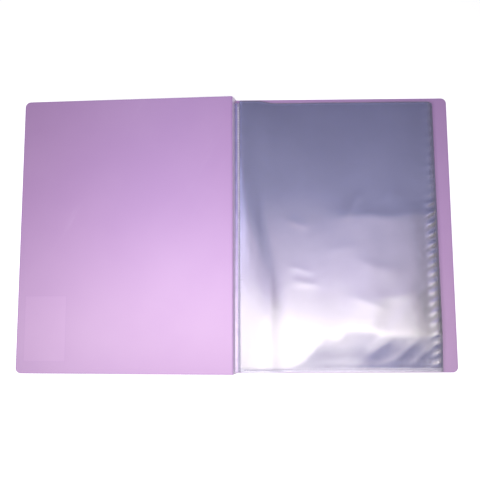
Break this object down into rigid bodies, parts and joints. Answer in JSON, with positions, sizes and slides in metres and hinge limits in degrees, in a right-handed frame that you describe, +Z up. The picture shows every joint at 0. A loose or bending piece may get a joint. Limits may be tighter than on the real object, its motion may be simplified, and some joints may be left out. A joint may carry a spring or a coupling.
{
  "type": "pocket display book",
  "caption": "Open display book: creased plastic cover of two panels and a spine, with clear top-loading film pockets welded along the binding edge.",
  "frame": {"origin": "middle of the open book's footprint, on the surface that it lies on", "axes": "+X across the open book towards the back cover's free edge, +Y towards the pocket mouths, +Z up"},
  "size_m": [0.488, 0.31, 0.014],
  "materials": {
    "cover_sheet": "satin, translucent",
    "binding": "fused clear film",
    "pocket_film": "clear gloss film",
    "label": "plain matte sticker"
  },
  "bodies": {
    "back_cover": {"back_cover": "cover_sheet", "back_crease": "cover_sheet", "binding_edge": "binding"},
    "spine": {"spine_panel": "cover_sheet", "front_crease": "cover_sheet"},
    "front_cover": {"front_cover": "cover_sheet", "info_label": "label"},
    "pocket_01": {"pocket_01_front_film": "pocket_film", "pocket_01_rear_film": "pocket_film"},
    "pocket_02": {"pocket_02_front_film": "pocket_film", "pocket_02_rear_film": "pocket_film"},
    "pocket_03": {"pocket_03_front_film": "pocket_film", "pocket_03_rear_film": "pocket_film"},
    "pocket_04": {"pocket_04_front_film": "pocket_film", "pocket_04_rear_film": "pocket_film"},
    "pocket_05": {"pocket_05_front_film": "pocket_film", "pocket_05_rear_film": "pocket_film"},
    "pocket_06": {"pocket_06_front_film": "pocket_film", "pocket_06_rear_film": "pocket_film"},
    "pocket_07": {"pocket_07_front_film": "pocket_film", "pocket_07_rear_film": "pocket_film"},
    "pocket_08": {"pocket_08_front_film": "pocket_film", "pocket_08_rear_film": "pocket_film"},
    "pocket_09": {"pocket_09_front_film": "pocket_film", "pocket_09_rear_film": "pocket_film"},
    "pocket_10": {"pocket_10_front_film": "pocket_film", "pocket_10_rear_film": "pocket_film"},
    "pocket_11": {"pocket_11_front_film": "pocket_film", "pocket_11_rear_film": "pocket_film"},
    "pocket_12": {"pocket_12_front_film": "pocket_film", "pocket_12_rear_film": "pocket_film"},
    "pocket_13": {"pocket_13_front_film": "pocket_film", "pocket_13_rear_film": "pocket_film"},
    "pocket_14": {"pocket_14_front_film": "pocket_film", "pocket_14_rear_film": "pocket_film"},
    "pocket_15": {"pocket_15_front_film": "pocket_film", "pocket_15_rear_film": "pocket_film"},
    "pocket_16": {"pocket_16_front_film": "pocket_film", "pocket_16_rear_film": "pocket_film"},
    "pocket_17": {"pocket_17_front_film": "pocket_film", "pocket_17_rear_film": "pocket_film"},
    "pocket_18": {"pocket_18_front_film": "pocket_film", "pocket_18_rear_film": "pocket_film"},
    "pocket_19": {"pocket_19_front_film": "pocket_film", "pocket_19_rear_film": "pocket_film"},
    "pocket_20": {"pocket_20_front_film": "pocket_film", "pocket_20_rear_film": "pocket_film"}
  },
  "joints": [
    {"name": "back_crease_fold", "type": "hinge", "parent": "back_cover", "child": "spine", "pos_m": [0.00199, 0, 0.00035], "axis": [0, 1, 0], "range_deg": [0, 18]},
    {"name": "front_crease_fold", "type": "hinge", "parent": "spine", "child": "front_cover", "pos_m": [-0.00234, 0, 0.01366], "axis": [0, 1, 0], "range_deg": [0, 165]},
    {"name": "pocket_01_turn", "type": "hinge", "parent": "pocket_02", "child": "pocket_01", "pos_m": [0.00429, 0, 0.0063], "axis": [0, 1, 0], "range_deg": [-60, 0]},
    {"name": "pocket_02_turn", "type": "hinge", "parent": "pocket_03", "child": "pocket_02", "pos_m": [0.00429, 0, 0.0063], "axis": [0, 1, 0], "range_deg": [-3.4, 0]},
    {"name": "pocket_03_turn", "type": "hinge", "parent": "pocket_04", "child": "pocket_03", "pos_m": [0.00429, 0, 0.0063], "axis": [0, 1, 0], "range_deg": [-3.4, 0]},
    {"name": "pocket_04_turn", "type": "hinge", "parent": "pocket_05", "child": "pocket_04", "pos_m": [0.00429, 0, 0.0063], "axis": [0, 1, 0], "range_deg": [-3.4, 0]},
    {"name": "pocket_05_turn", "type": "hinge", "parent": "pocket_06", "child": "pocket_05", "pos_m": [0.00429, 0, 0.0063], "axis": [0, 1, 0], "range_deg": [-3.4, 0]},
    {"name": "pocket_06_turn", "type": "hinge", "parent": "pocket_07", "child": "pocket_06", "pos_m": [0.00429, 0, 0.0063], "axis": [0, 1, 0], "range_deg": [-3.4, 0]},
    {"name": "pocket_07_turn", "type": "hinge", "parent": "pocket_08", "child": "pocket_07", "pos_m": [0.00429, 0, 0.0063], "axis": [0, 1, 0], "range_deg": [-3.4, 0]},
    {"name": "pocket_08_turn", "type": "hinge", "parent": "pocket_09", "child": "pocket_08", "pos_m": [0.00429, 0, 0.0063], "axis": [0, 1, 0], "range_deg": [-3.4, 0]},
    {"name": "pocket_09_turn", "type": "hinge", "parent": "pocket_10", "child": "pocket_09", "pos_m": [0.00429, 0, 0.0063], "axis": [0, 1, 0], "range_deg": [-3.4, 0]},
    {"name": "pocket_10_turn", "type": "hinge", "parent": "pocket_11", "child": "pocket_10", "pos_m": [0.00429, 0, 0.0063], "axis": [0, 1, 0], "range_deg": [-3.4, 0]},
    {"name": "pocket_11_turn", "type": "hinge", "parent": "pocket_12", "child": "pocket_11", "pos_m": [0.00429, 0, 0.0063], "axis": [0, 1, 0], "range_deg": [-3.4, 0]},
    {"name": "pocket_12_turn", "type": "hinge", "parent": "pocket_13", "child": "pocket_12", "pos_m": [0.00429, 0, 0.0063], "axis": [0, 1, 0], "range_deg": [-3.4, 0]},
    {"name": "pocket_13_turn", "type": "hinge", "parent": "pocket_14", "child": "pocket_13", "pos_m": [0.00429, 0, 0.0063], "axis": [0, 1, 0], "range_deg": [-3.4, 0]},
    {"name": "pocket_14_turn", "type": "hinge", "parent": "pocket_15", "child": "pocket_14", "pos_m": [0.00429, 0, 0.0063], "axis": [0, 1, 0], "range_deg": [-3.4, 0]},
    {"name": "pocket_15_turn", "type": "hinge", "parent": "pocket_16", "child": "pocket_15", "pos_m": [0.00429, 0, 0.0063], "axis": [0, 1, 0], "range_deg": [-3.4, 0]},
    {"name": "pocket_16_turn", "type": "hinge", "parent": "pocket_17", "child": "pocket_16", "pos_m": [0.00429, 0, 0.0063], "axis": [0, 1, 0], "range_deg": [-3.4, 0]},
    {"name": "pocket_17_turn", "type": "hinge", "parent": "pocket_18", "child": "pocket_17", "pos_m": [0.00429, 0, 0.0063], "axis": [0, 1, 0], "range_deg": [-3.4, 0]},
    {"name": "pocket_18_turn", "type": "hinge", "parent": "pocket_19", "child": "pocket_18", "pos_m": [0.00429, 0, 0.0063], "axis": [0, 1, 0], "range_deg": [-3.4, 0]},
    {"name": "pocket_19_turn", "type": "hinge", "parent": "pocket_20", "child": "pocket_19", "pos_m": [0.00429, 0, 0.0063], "axis": [0, 1, 0], "range_deg": [-3.4, 0]},
    {"name": "pocket_20_turn", "type": "hinge", "parent": "back_cover", "child": "pocket_20", "pos_m": [0.00429, 0, 0.0063], "axis": [0, 1, 0], "range_deg": [-3.4, 0]}
  ]
}
